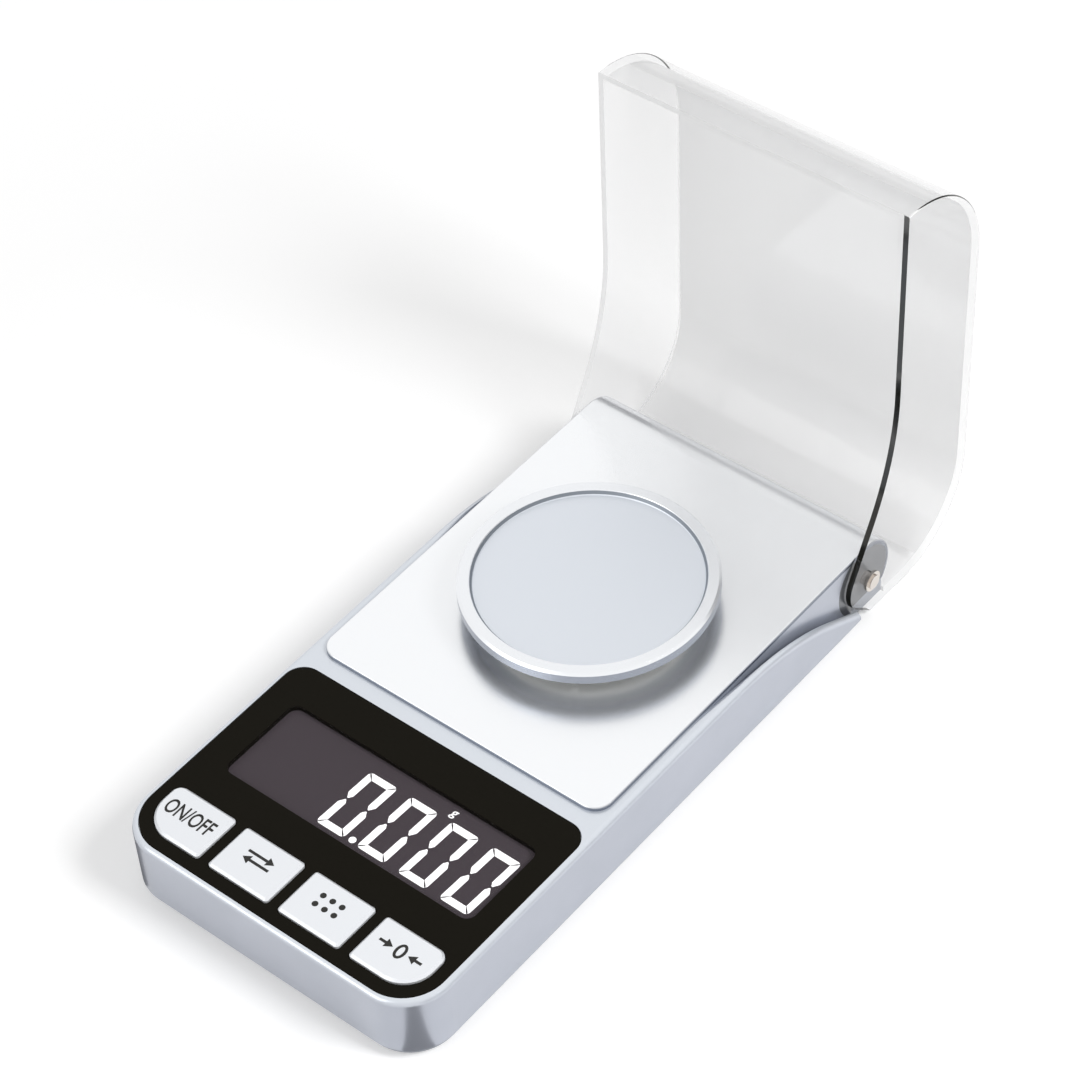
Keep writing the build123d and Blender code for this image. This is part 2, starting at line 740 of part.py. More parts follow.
# Key switches on the board, and their plungers, which travel with the keys
with BuildPart() as key_switches:
    with BuildSketch(Plane.XY.offset(board_top)):
        with Locations(*[(x, key_y) for x in key_x]):
            Rectangle(switch_size, switch_size)
    extrude(amount=switch_height)
    with BuildSketch(Plane.XY.offset(board_top + switch_height)):
        with Locations(*[(x, key_y) for x in key_x]):
            Circle(switch_button_radius + fit_gap)
    extrude(amount=-switch_bore, mode=Mode.SUBTRACT)
finish(key_switches, "key_switches")

plunger_top = board_top + switch_height + switch_button_proud
for index, name in enumerate(key_names):
    with BuildPart() as plunger:
        with BuildSketch(Plane.XY.offset(plunger_top)):
            with Locations((key_x[index], key_y)):
                Circle(switch_button_radius)
        extrude(amount=-switch_button_proud - switch_bore + key_travel + layer_gap)
    finish(plunger, f"plunger_{name}")
    with BuildPart() as key:
        with BuildSketch(Plane.XY.offset(flange_bottom)):
            with Locations((key_x[index], key_y)):
                add(key_outline(index, key_gap + key_flange))
        extrude(amount=key_flange_thickness)
        with BuildSketch(Plane.XY.offset(flange_top)):
            with Locations((key_x[index], key_y)):
                add(key_outline(index))
        extrude(amount=key_top - flange_top)
        chamfer(key.faces().sort_by(Axis.Z)[-1].edges(), key_bevel)
        with BuildSketch(Plane.XY.offset(plunger_top)):
            with Locations((key_x[index], key_y)):
                Circle(key_stem_radius)
        extrude(amount=flange_bottom - plunger_top)
    finish(key, f"key_{name}")

# Load cell: a bar with a double round window that lets its free end sink level
cell_y = (cell_front + cell_rear) / 2
with BuildPart() as load_cell:
    with BuildSketch(Plane.XY.offset(cell_bottom)):
        with Locations((0, cell_y)):
            Rectangle(cell_width, cell_length)
        with Locations(*[(0, y) for y in cell_fixed_screws + cell_free_screws]):
            Circle(cell_screw_radius + screw_gap, mode=Mode.SUBTRACT)
    extrude(amount=cell_height)
    with BuildSketch(Plane.YZ.offset(-cell_width / 2)):
        with Locations((cell_y, cell_bottom + cell_height / 2)):
            Rectangle(cell_window_spacing, cell_window_radius)
            with GridLocations(cell_window_spacing, 0, 2, 1):
                Circle(cell_window_radius)
    extrude(amount=cell_width, mode=Mode.SUBTRACT)
finish(load_cell, "load_cell")

with BuildPart() as gauge_seals:
    for height, way in ((cell_top, 1), (cell_bottom, -1)):
        with BuildSketch(Plane.XY.offset(height)):
            with Locations((0, cell_y)):
                RectangleRounded(gauge_seal_width, gauge_seal_length, gauge_seal_thickness)
        extrude(amount=way * gauge_seal_thickness)
finish(gauge_seals, "strain_gauge_seals")

cell_screws = screw([(0, y) for y in cell_fixed_screws], cell_top, cell_screw_radius,
                    cell_screw_head_radius, cell_screw_head, cell_height + cell_floor_gap - layer_gap,
                    up=False)
finish(cell_screws, "load_cell_screws")

with BuildPart() as overload_stop:
    with BuildSketch(Plane.XY.offset(floor_top + layer_gap)):
        with Locations((0, stop_y)):
            Circle(cell_screw_radius)
    extrude(amount=cell_floor_gap - stop_gap - layer_gap)
finish(overload_stop, "overload_stop_screw")

# Bracket on the load cell's free end, with two countersunk screws
bracket_y = cell_rear - bracket_length / 2
with BuildPart() as bracket:
    with BuildSketch(Plane.XY.offset(cell_top)):
        with Locations((0, bracket_y)):
            Rectangle(cell_width, bracket_length)
    extrude(amount=bracket_thickness)
    chamfer(bracket.edges().filter_by(Axis.Z), bracket_thickness / 2)
    with Locations(*[Location((0, y, bracket_top)) for y in cell_free_screws]):
        CounterSinkHole(cell_screw_radius + screw_gap, cell_screw_head_radius + screw_gap)
finish(bracket, "pan_bracket")

with BuildPart() as bracket_screws:
    cone = cell_screw_head_radius - cell_screw_radius
    tip = cell_bottom + cell_screw_radius
    for y in cell_free_screws:
        with BuildSketch(Plane.YZ):
            with BuildLine():
                Polyline((y, bracket_top), (y + cell_screw_head_radius, bracket_top),
                         (y + cell_screw_radius, bracket_top - cone), (y + cell_screw_radius, tip),
                         (y, tip), close=True)
            make_face()
        revolve(axis=Axis((0, y, 0), (0, 0, 1)))
finish(bracket_screws, "pan_bracket_screws")

# Pan support: a foot on the bracket, a post through the platform and a disc under the pan
pan_floor_top = pan_top - pan_recess
pan_floor_bottom = pan_floor_top - pan_sheet
with BuildPart() as pan_support:
    with BuildSketch(Plane.YZ):
        with BuildLine():
            foot_top = bracket_top + post_foot_thickness
            disc_bottom = pan_floor_bottom - spider_thickness
            Polyline((pan_y, bracket_top), (pan_y + post_foot_radius, bracket_top),
                     (pan_y + post_foot_radius, foot_top), (pan_y + post_radius, foot_top),
                     (pan_y + post_radius, disc_bottom), (pan_y + spider_radius, disc_bottom),
                     (pan_y + spider_radius, pan_floor_bottom), (pan_y, pan_floor_bottom), close=True)
        make_face()
    revolve(axis=Axis((0, pan_y, 0), (0, 0, 1)))
    rib_length = spider_radius - post_radius
    with BuildSketch(Plane.XY.offset(disc_bottom)):
        with Locations((0, pan_y)):
            with PolarLocations((spider_radius + post_radius) / 2, spider_rib_count):
                Rectangle(rib_length, spider_rib_width)
    extrude(amount=-spider_rib_height)
finish(pan_support, "pan_support")

# Weighing pan: pressed sheet with a flat bright rim, a shallow floor and a skirt
with BuildPart() as pan:
    with BuildSketch(Plane.YZ):
        with BuildLine():
            skirt_inner = pan_radius - pan_sheet
            rim_inner = pan_radius - pan_bevel - pan_rim
            floor_radius = rim_inner - pan_recess * pan_slope
            Polyline(*[(pan_y + r, z) for r, z in (
                (0, pan_floor_top), (floor_radius, pan_floor_top), (rim_inner, pan_top),
                (pan_radius - pan_bevel, pan_top), (pan_radius, pan_top - pan_bevel),
                (pan_radius, pan_bottom), (skirt_inner, pan_bottom), (skirt_inner, pan_floor_top),
                (rim_inner + pan_sheet / 2, pan_floor_top),
                (floor_radius + pan_sheet / 2, pan_floor_bottom), (0, pan_floor_bottom))], close=True)
        make_face()
    revolve(axis=Axis((0, pan_y, 0), (0, 0, 1)))
finish(pan, "weighing_pan")

# Batteries lie opposite ways round, each pushed to its positive end
for way, y, place in ((1, battery_y[0], "front"), (-1, battery_y[1], "rear")):
    with BuildPart() as battery:
        tail = -way * (battery_length / 2 - battery_shift)
        shoulder = way * (battery_length / 2 + battery_shift - battery_nub)
        nose = shoulder + way * battery_nub
        with BuildSketch(Plane.XY.offset(battery_z)):
            with BuildLine():
                Polyline((tail, y), (tail, y + battery_radius), (shoulder, y + battery_radius),
                         (shoulder, y + battery_nub_radius), (nose, y + battery_nub_radius), (nose, y),
                         close=True)
            make_face()
        revolve(axis=Axis((0, y, battery_z), (1, 0, 0)))
        ends = battery.edges().filter_by(GeomType.CIRCLE).filter_by(
            lambda edge: edge.radius > battery_radius - match_gap)
        fillet(ends, battery_nub / 2)
    finish(battery, f"aaa_battery_{place}")

# Contacts: one plate joins the cells at the left, and each cell has its own plate at the right
plate_x = bay_half_width - contact_sheet
dimple = plate_x - battery_length / 2 - battery_shift
contact_places = {
    "contact_link": (-1, battery_y, battery_y[1:]),
    "contact_positive": (1, battery_y[:1], battery_y[:1]),
    "contact_negative": (1, battery_y[1:], []),
}
for name, (side, cells, dimples) in contact_places.items():
    with BuildPart() as contact:
        with BuildSketch(Plane.YZ.offset(side * plate_x)):
            with Locations(((cells[0] + cells[-1]) / 2, battery_z)):
                Rectangle(cells[-1] - cells[0] + contact_height, contact_height)
        extrude(amount=side * contact_sheet)
        for y in dimples:
            with BuildSketch(Plane.YZ.offset(side * plate_x)):
                with Locations((y, battery_z)):
                    Circle(battery_nub_radius)
            extrude(amount=-side * (dimple - screw_gap))
    finish(contact, name)

# Springs that press on the negative ends
with BuildPart() as springs:
    for side, y in ((-1, battery_y[0]), (1, battery_y[1])):
        reach = plate_x - (battery_length / 2 - battery_shift)
        coil = reach - 2 * spring_wire_radius - 2 * screw_gap
        start = side * (plate_x - spring_wire_radius - screw_gap)
        with BuildLine() as path:
            Helix(pitch=coil / spring_turns, height=coil, radius=spring_radius, center=(start, y, battery_z),
                  direction=(-side, 0, 0))
        with BuildSketch(Plane(origin=path.line @ 0, z_dir=path.line % 0)):
            Circle(spring_wire_radius)
        sweep(path=path.line)
finish(springs, "contact_springs")

# Battery leads: up from the contact plates, over the bay's wall and down onto the board
lead_x = bay_half_width - lead_radius - fit_gap
lead_foot = battery_z + contact_height / 2 + screw_gap
lead_z = (bay_top + ceiling_rear) / 2
lead_rest = board_top + lead_radius + screw_gap
for name, y, shift in (("positive_lead", battery_y[0], 0), ("negative_lead", battery_y[1], lead_shift)):
    route = [(lead_x, y, lead_foot), (lead_x, y, lead_z)]
    bends = [lead_start_bend]
    if shift:
        route.append((lead_x + shift, y - lead_shift_run, lead_z))
        bends.append(lead_bend)
    route += [(lead_x + shift, board_rear + lead_drop_run, lead_z), (lead_x + shift, board_rear, lead_rest),
              (lead_x + shift, board_rear - solder_reach, lead_rest)]
    bends += [lead_bend, lead_bend]
    with BuildPart() as lead:
        add(round_wire(route, bends, lead_radius))
    finish(lead, name)

# Load cell wires: from the upper seal, past the screw heads and down onto the board
wire_z = cell_top + wire_radius + screw_gap
wire_rest = board_top + wire_radius + screw_gap
seal_front = cell_y - gauge_seal_length / 2 - screw_gap
with BuildPart() as load_cell_wires:
    for index in range(wire_count):
        start_x = wire_radius + index * wire_pitch
        end_x = board_notch_half + wire_pitch + index * wire_pitch
        add(round_wire([(start_x, seal_front, wire_z), (start_x, seal_front - wire_start_run, wire_z),
                        (end_x, board_rear + lead_drop_run, wire_z), (end_x, board_rear, wire_rest),
                        (end_x, board_rear - solder_reach, wire_rest)],
                       [wire_bend] * 3, wire_radius))
finish(load_cell_wires, "load_cell_wires")

# Hinge pins, fixed in the ears, with heads outside the lid
with BuildPart() as hinge_pins:
    for side in (-1, 1):
        head_seat = lid_half_width + layer_gap
        for start, end, radius in ((pin_inner_end, head_seat, pin_radius),
                                   (head_seat, head_seat + pin_head_thickness, pin_head_radius),
                                   (head_seat + pin_head_thickness, half_width, pin_radius)):
            with BuildSketch(Plane.YZ.offset(side * start)):
                with Locations((hinge_y, hinge_z)):
                    Circle(radius)
            extrude(amount=side * (end - start))
finish(hinge_pins, "hinge_pins")


def lid_outer_profile():
    """The closed lid's side view, from the hinge line: front lip, round front, top, round rear, heel."""
    front = panel_rear + lid_front_setback - hinge_y
    rim = ledge_top + lid_rim_gap - hinge_z
    top = rim + lid_height
    centre, radius, brow_end = swoop_points(swoop_y, swoop_radius, lid_rim_gap)
    knuckle = lid_knuckle_radius
    heel_distance = hypot(lid_rear_reach, lid_heel_rise)
    heel_angle = degrees(atan2(lid_heel_rise, lid_rear_reach) - acos(knuckle / heel_distance))
    toe_angle = -90 - swoop_turn
    toe = (knuckle * cos(radians(toe_angle)), knuckle * sin(radians(toe_angle)))
    heel = (knuckle * cos(radians(heel_angle)), knuckle * sin(radians(heel_angle)))
    rear_centre = (lid_rear_reach - lid_rear_radius, top - lid_rear_radius)
    front_centre = (front + lid_front_radius, rim + lid_front_lip)
    with BuildSketch(mode=Mode.PRIVATE) as outline:
        with BuildLine():
            Line((front, rim), (swoop_y - hinge_y, rim))
            CenterArc((centre[0] - hinge_y, centre[1] - hinge_z), radius, 90, -swoop_turn)
            Line((brow_end[0] - hinge_y, brow_end[1] - hinge_z), toe)
            CenterArc((0, 0), knuckle, toe_angle, heel_angle - toe_angle)
            Polyline(heel, (lid_rear_reach, lid_heel_rise), (lid_rear_reach, rear_centre[1]))
            CenterArc(rear_centre, lid_rear_radius, 0, 90)
            Line((rear_centre[0], top), (front_centre[0], top))
            CenterArc(front_centre, lid_front_radius, 90, 90)
            Line((front, rim + lid_front_lip), (front, rim))
        make_face()
    return outline.sketch


def lid_inner_profile():
    """The hollow between the lid's side walls, open at the rim and under the rear wall's foot."""
    front = panel_rear + lid_front_setback - hinge_y + lid_wall
    rim = ledge_top + lid_rim_gap - hinge_z
    top = rim + lid_height - lid_wall
    rear = lid_rear_reach - lid_wall
    rear_centre = (lid_rear_reach - lid_rear_radius, rim + lid_height - lid_rear_radius)
    front_centre = (front - lid_wall + lid_front_radius, rim + lid_front_lip)
    below = -lid_height
    behind = lid_rear_reach + lid_wall
    with BuildSketch(mode=Mode.PRIVATE) as outline:
        with BuildLine():
            Polyline((front, rim + lid_front_lip), (front, below), (behind, below),
                     (behind, lid_rear_wall_foot),
                     (rear, lid_rear_wall_foot), (rear, rear_centre[1]))
            CenterArc(rear_centre, lid_rear_radius - lid_wall, 0, 90)
            Line((rear_centre[0], top), (front_centre[0], top))
            CenterArc(front_centre, lid_front_radius - lid_wall, 90, 90)
        make_face()
    return outline.sketch


# Lid: a clear shell, drawn closed about the hinge line on a plane that is turned open
lean = radians(-lid_opening_angle)
lid_plane = Plane(origin=(0, hinge_y, hinge_z), x_dir=(0, cos(lean), sin(lean)), z_dir=(1, 0, 0))


def on_lid_corner(edge):
    """True for an outer edge between a side wall and the front, top or rear, above the knuckle."""
    spot = lid_plane.to_local_coords(edge @ 0.5)
    if abs(spot.Z) < lid_half_width - match_gap or abs((edge @ 0).X) < lid_half_width - match_gap:
        return False
    rim = ledge_top + lid_rim_gap - hinge_z
    is_outside = spot.X > 0 or spot.Y > rim + match_gap
    return is_outside and hypot(spot.X, spot.Y) > lid_knuckle_radius + 2 * lid_wall


with BuildPart() as lid:
    with BuildSketch(lid_plane):
        add(lid_outer_profile())
    extrude(amount=lid_half_width, both=True)
    with BuildSketch(lid_plane):
        add(lid_inner_profile())
    extrude(amount=lid_half_width - lid_wall, both=True, mode=Mode.SUBTRACT)
    with BuildSketch(lid_plane):
        Circle(pin_radius + pin_running_gap)
    extrude(amount=lid_half_width, both=True, mode=Mode.SUBTRACT)
    fillet([edge for edge in lid.edges() if on_lid_corner(edge)], lid_edge_fillet)
finish(lid, "clear_lid")
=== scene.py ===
# %% [markdown]
# # A pocket precision scale, dressed and lit
#
# The construction is already there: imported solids, their bodies and their joints. This script
# loads them as a fixed frame and gives them their looks: a camera and soft studio light, one
# finish for each kind of surface, and the thin prints that are only looks, such as the digits
# of the readout.

import json
import math

import bmesh
import bpy
import numpy as np
from mathutils import Matrix, Vector


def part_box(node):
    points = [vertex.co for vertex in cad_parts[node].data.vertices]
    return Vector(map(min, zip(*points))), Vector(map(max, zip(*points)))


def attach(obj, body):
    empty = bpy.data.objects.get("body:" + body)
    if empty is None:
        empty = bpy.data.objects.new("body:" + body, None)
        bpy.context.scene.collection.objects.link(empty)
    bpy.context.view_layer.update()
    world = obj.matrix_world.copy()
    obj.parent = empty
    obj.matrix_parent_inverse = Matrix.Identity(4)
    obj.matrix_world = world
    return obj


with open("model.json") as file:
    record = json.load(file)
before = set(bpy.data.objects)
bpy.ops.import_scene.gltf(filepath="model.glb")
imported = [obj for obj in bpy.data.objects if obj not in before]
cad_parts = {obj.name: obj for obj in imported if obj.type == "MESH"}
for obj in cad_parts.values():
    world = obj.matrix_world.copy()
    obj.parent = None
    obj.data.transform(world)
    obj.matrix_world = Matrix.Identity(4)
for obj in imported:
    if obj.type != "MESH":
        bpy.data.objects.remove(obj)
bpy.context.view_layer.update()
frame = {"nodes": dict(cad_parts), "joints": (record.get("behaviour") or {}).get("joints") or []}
MM = 0.001

# %% [markdown]
# ## The camera
#
# The scale stands on a table and is seen from the front right and from well above, through a
# long lens, so edges that run away from the camera hardly draw together. A camera is a place,
# a focal length and three axes. It could be aimed with a constraint, but a constraint hides
# the roll, so the axes are written out: which way is right in the picture, which way is up,
# and the third one follows from a cross product.

# %% Place the camera
camera_place = Vector((257.98, -270.71, 434.89)) * MM
camera_right = Vector((0.77256, 0.63231, -0.05771))
camera_up = Vector((-0.42718, 0.58486, 0.68954))
camera_back = camera_right.cross(camera_up)
camera_axes = Matrix((camera_right, camera_up, camera_back)).transposed()

camera_data = bpy.data.cameras.new("camera")
camera_data.sensor_width = 36.0
camera_data.lens = 117.79
camera_data.clip_start = 0.01
camera = bpy.data.objects.new("camera", camera_data)
camera.matrix_world = Matrix.Translation(camera_place) @ camera_axes.to_4x4()
bpy.context.scene.collection.objects.link(camera)
bpy.context.scene.camera = camera
bpy.context.scene.view_settings.view_transform = "Standard"
print("camera looks along", [round(value, 3) for value in -camera_back])

# %% [markdown]
# ## Writing shaders as expressions
#
# A finish is a graph of nodes, and a graph is hard to read as a list of links. So one small
# class wraps a socket, and arithmetic on it adds Math nodes: `0.3 + 0.1 * grain` builds the
# same two nodes as it would by hand. Every other node comes from one method, which sets the
# node's settings first, because some of them change its sockets, and then its inputs.


# %% Wrap a socket and a graph
class Value:
    """A socket of a shader graph. Arithmetic on it adds Math nodes and gives a new Value."""

    def __init__(self, graph, socket):
        self.graph = graph
        self.socket = socket

    def output(self, name):
        """Another output of the same node."""
        return Value(self.graph, self.socket.node.outputs[name])

    def math(self, operation, *others):
        """This value through a Math node, with the other inputs that the operation takes."""
        inputs = dict(enumerate((self, *others)))
        return self.graph.node("ShaderNodeMath", {"operation": operation}, inputs)

    def __add__(self, other):
        return self.math("ADD", other)

    def __sub__(self, other):
        return self.math("SUBTRACT", other)

    def __rsub__(self, other):
        return self.graph.node("ShaderNodeMath", {"operation": "SUBTRACT"}, {0: other, 1: self})

    def __mul__(self, other):
        return self.math("MULTIPLY", other)

    def __gt__(self, other):
        return self.math("GREATER_THAN", other)

    def __lt__(self, other):
        return self.math("LESS_THAN", other)

    __radd__ = __add__
    __rmul__ = __mul__


class Graph:
    """The nodes of one material, or of the world."""

    def __init__(self, owner):
        owner.use_nodes = True
        self.tree = owner.node_tree
        self.tree.nodes.clear()

    def node(self, kind, settings=None, inputs=None, output=0):
        """Add a node: its settings first, then a value or a link for each named socket."""
        made = self.tree.nodes.new(kind)
        for name, value in (settings or {}).items():
            setattr(made, name, value)
        for name, value in (inputs or {}).items():
            if isinstance(value, Value):
                self.tree.links.new(value.socket, made.inputs[name])
            else:
                made.inputs[name].default_value = value
        return Value(self, made.outputs[output] if len(made.outputs) else None)


# %% [markdown]
# ## Helpers that many finishes share
#
# Colours are written as a screen shows them, as six hex digits, and are made linear by the
# usual formula, because shaders count light. Grain comes from noise on the piece's own
# object coordinates, which are metres here, so its size can be given in millimetres. A tone
# that depends on how a face lies is taken from its normal, turned to point out of the piece.

# %% Colours, grain and bump
def color(hex_digits):
    """Linear red, green, blue and alpha of a screen colour: ((c + 0.055) / 1.055) ** 2.4."""
    channels = np.array([int(hex_digits[i:i + 2], 16) for i in (0, 2, 4)]) / 255
    linear = np.where(channels <= 0.04045, channels / 12.92, ((channels + 0.055) / 1.055) ** 2.4)
    return (*linear, 1.0)


def grain(graph, place, size, detail=2.0, stretch=(1.0, 1.0, 1.0)):
    """Noise from 0 to 1 whose spots are about size millimetres, longer along a stretched axis."""
    scaled = graph.node("ShaderNodeMapping", {"vector_type": "POINT"},
                        {"Vector": place, "Scale": [1 / value for value in stretch]})
    return graph.node("ShaderNodeTexNoise", {"noise_dimensions": "3D"},
                      {"Vector": scaled, "Scale": 1 / (size * MM), "Detail": detail})


def bump(graph, height, depth):
    """A normal that follows a height from 0 to 1, which is depth millimetres deep."""
    return graph.node("ShaderNodeBump", {}, {"Height": height, "Distance": depth * MM, "Strength": 1.0})


def axes(graph, vector):
    """The three parts of a vector, each as a value."""
    first = graph.node("ShaderNodeSeparateXYZ", {}, {"Vector": vector})
    return first, first.output("Y"), first.output("Z")


def outward(graph):
    """The normal that points out of the piece, also where a ray meets the surface from inside."""
    turned = 1 - 2 * graph.node("ShaderNodeNewGeometry", output="Backfacing")
    return graph.node("ShaderNodeVectorMath", {"operation": "SCALE"},
                      {"Vector": graph.node("ShaderNodeTexCoord", output="Normal"), "Scale": turned})


def mix_color(graph, share, first, second):
    """Colour between first (share 0) and second (share 1)."""
    return graph.node("ShaderNodeMix", {"data_type": "RGBA"}, {0: share, 6: first, 7: second}, output=2)


def new_material(name):
    """A material with an empty graph, and its object coordinates."""
    material = bpy.data.materials.new(name)
    graph = Graph(material)
    place = graph.node("ShaderNodeTexCoord", output="Object")
    return material, graph, place


def close_material(graph, **sockets):
    """End a graph in a Principled shader. Underscores in the socket names stand for spaces."""
    inputs = {name.replace("_", " "): value for name, value in sockets.items()}
    shader = graph.node("ShaderNodeBsdfPrincipled", {}, inputs)
    graph.node("ShaderNodeOutputMaterial", {}, {"Surface": shader})


def dress(material, *names):
    """Give solids this material in place of the plain one that they came with."""
    for name in names:
        mesh = frame["nodes"][name].data
        mesh.materials.clear()
        mesh.materials.append(material)
    print(material.name, "on", ", ".join(names))


# %% [markdown]
# ## Floor and light
#
# The background is pure white with a soft shadow to the left of the scale. More lamps would
# wash the object out long before the floor turned white, so the floor adds a little light of
# its own, only to rays from the camera, from a mirror or through glass. The shadow stays. Far
# from the scale the lamps hardly reach the floor, so it adds more there. The world is dim for
# what it lights and white for what sees it.

# %% Floor
def quad(name, corners):
    """A stage piece with four corners, in metres."""
    mesh = bpy.data.meshes.new(name)
    mesh.from_pydata(corners, [], [(0, 1, 2, 3)])
    piece = bpy.data.objects.new(name, mesh)
    bpy.context.scene.collection.objects.link(piece)
    return piece


def seen_directly(graph):
    """1 for a ray from the camera, from a mirror or through glass, and 0 for lighting rays."""
    path = graph.node("ShaderNodeLightPath")
    seen = path.output("Is Camera Ray") + path.output("Is Glossy Ray")
    seen = seen + path.output("Is Transmission Ray")
    return seen > 0.5


floor_reach = 6.0
floor = quad("floor", [(-floor_reach, -floor_reach, 0), (floor_reach, -floor_reach, 0),
                       (floor_reach, floor_reach, 0), (-floor_reach, floor_reach, 0)])
floor_material = bpy.data.materials.new("floor")
graph = Graph(floor_material)
paper_shade = 0.80
floor_lift = 0.34
far_lift = 0.50
near_end = 0.15
far_end = 0.80
paper = graph.node("ShaderNodeBsdfDiffuse", {}, {"Color": (paper_shade, paper_shade, paper_shade, 1.0)})
place = graph.node("ShaderNodeTexCoord", output="Object")
away = graph.node("ShaderNodeVectorMath", {"operation": "LENGTH"}, {0: place}, output="Value")
far_rise = graph.node("ShaderNodeMapRange", {}, {"Value": away, "From Min": near_end, "From Max": far_end,
                                                 "To Min": 0.0, "To Max": far_lift})
glow = graph.node("ShaderNodeEmission", {}, {"Strength": seen_directly(graph) * (floor_lift + far_rise)})
both = graph.node("ShaderNodeAddShader", {}, {0: paper, 1: glow})
graph.node("ShaderNodeOutputMaterial", {}, {"Surface": both})
floor.data.materials.append(floor_material)
print("floor lift", floor_lift, "near the scale and", floor_lift + far_lift, "far from it")

# %% World
world = bpy.data.worlds.new("studio")
bpy.context.scene.world = world
graph = Graph(world)
world_light = 0.42
world_seen = 1.0
level = world_light + (world_seen - world_light) * seen_directly(graph)
studio = graph.node("ShaderNodeBackground", {}, {"Color": (1.0, 1.0, 1.0, 1.0), "Strength": level})
graph.node("ShaderNodeOutputWorld", {}, {"Surface": studio})
print("world lights at", world_light, "and shows at", world_seen)

# %% [markdown]
# A lamp's power is easiest to choose from what it should do. A small lamp of power P at the
# distance d lights a facing white surface to the level P / (pi squared d squared), so the
# helper below takes the level that is wanted on the table and works the power out. The lamp on
# the right throws the shadow to the left. Mirrors don't see it, so bright metal doesn't clip.

# %% Lamps
lamp_aim = Vector((0, 0, 0.015))


def area_lamp(name, direction, distance, size, level):
    """A square lamp that lights the middle of the scale from a direction to a level."""
    way = Vector(direction).normalized()
    data = bpy.data.lights.new(name, "AREA")
    data.size = size
    data.energy = level * math.pi ** 2 * distance ** 2
    lamp = bpy.data.objects.new(name, data)
    turn = way.to_track_quat("Z", "Y").to_matrix().to_4x4()
    lamp.matrix_world = Matrix.Translation(lamp_aim + way * distance) @ turn
    bpy.context.scene.collection.objects.link(lamp)
    print(name, "power", round(data.energy, 2), "W")
    return lamp


right_softbox = area_lamp("right_softbox", (0.80, 0.15, 0.85), distance=0.8, size=0.26, level=0.62)
right_softbox.visible_glossy = False
area_lamp("front_softbox", (-0.30, -0.80, 0.55), distance=0.9, size=0.60, level=0.20)


# %% [markdown]
# Shiny metal is dull in an all-white room. Photographers stand dark cards where only the
# metal sees them, and the rounded edges then get their dark lines.

# %% Dark cards
card_blue = 1.05


def dark_card(name, corners, shade):
    """A card that only mirrors see."""
    card = quad(name, corners)
    card.visible_camera = False
    card.visible_diffuse = False
    card.visible_transmission = False
    card.visible_shadow = False
    card_graph = Graph(bpy.data.materials.new(name))
    shader = card_graph.node("ShaderNodeEmission", {}, {"Color": (shade, shade, shade * card_blue, 1.0)})
    card_graph.node("ShaderNodeOutputMaterial", {}, {"Surface": shader})
    card.data.materials.append(bpy.data.materials[name])


def standing_card(name, start, end, height, shade):
    """A dark card that stands on the floor between two points."""
    dark_card(name, [(*start, 0.0), (*end, 0.0), (*end, height), (*start, height)], shade)


card_corner = (1.0, 1.0)
standing_card("rear_card", (-1.6, 1.0), card_corner, height=0.42, shade=0.22)
standing_card("right_card", (1.0, -0.6), card_corner, height=0.25, shade=0.25)
print("cards stand", card_corner[1], "m behind the scale and", card_corner[0], "m to its right")

# %% [markdown]
# Seen from above, an upright wall mirrors the floor just in front of it. So a dark strip that
# lies on the floor and points away from a round corner puts one soft dark line down that
# corner, and the flat walls beside it stay pale.

# %% Dark strips at the front corners
strip_height = 0.3 * MM
strip_length = 26.0
strip_width = 7.0
strip_shade = 0.10


def floor_strip(name, start, way):
    """A dark strip just above the floor, from a start along a way, both in millimetres in plan."""
    start = np.array(start)
    way = np.array(way) / np.linalg.norm(way)
    end = start + way * strip_length
    aside = np.array([-way[1], way[0]]) * strip_width / 2
    outline = [start - aside, end - aside, end + aside, start + aside]
    dark_card(name, [(*(point * MM), strip_height) for point in outline], strip_shade)


floor_strip("right_corner_strip", (27.0, -57.0), (0.73, -0.68))
floor_strip("left_corner_strip", (-28.0, -58.0), (-0.99, -0.13))
print("strips are", strip_length, "mm long")

# %% [markdown]
# ## The casing: satin silver paint
#
# The housing is moulded plastic with a silver lacquer. It is not a mirror: reflections are
# soft, and its colour is a cool light grey. A half-metallic Principled shader with a thin
# coat gives the body colour and a soft gloss. The upper faces get painted light: they are paler
# than the walls, which the normal tells apart: its upward part is 1 on top and 0 on a wall. The
# round ears at the hinge get a painted shade that makes them darker, and a mask on the
# coordinates finds them.

# %% Casing
hinge = Vector(frame["joints"][0]["pos_m"])
platform_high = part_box("platform_sheet")[1]
ear_reach = 7.2 * MM
ear_slack = 0.02 * MM


def distance_from_hinge(y, z):
    """Distance in metres from the hinge line: the root of the sum of two squares."""
    across = y - hinge.y
    above = z - hinge.z
    return (across * across + above * above).math("SQRT")


material, graph, place = new_material("satin_silver")
fine = grain(graph, place, 0.12)
cloud = grain(graph, place, 9.0)
x, y, z = axes(graph, place)
ear_shade = (distance_from_hinge(y, z) < ear_reach) * (x.math("ABSOLUTE") < platform_high.x + ear_slack)
wall_paint = mix_color(graph, cloud, color("AEB3BE"), color("B9BDC8"))
# Painted light: the upper faces are paler than the walls, by the way they face.
upward = axes(graph, outward(graph))[2].math("MAXIMUM", 0.0)
paint = mix_color(graph, upward, wall_paint, color("DDE2E9"))
# Painted shade: the round ears at the hinge are darker.
paint = mix_color(graph, ear_shade, paint, color("6A6C70"))
close_material(graph, Base_Color=paint, Metallic=0.55, Roughness=0.26 + 0.06 * fine, Coat_Weight=0.35,
               Coat_Roughness=0.12, Normal=bump(graph, fine, 0.002))
dress(material, "top_casing")
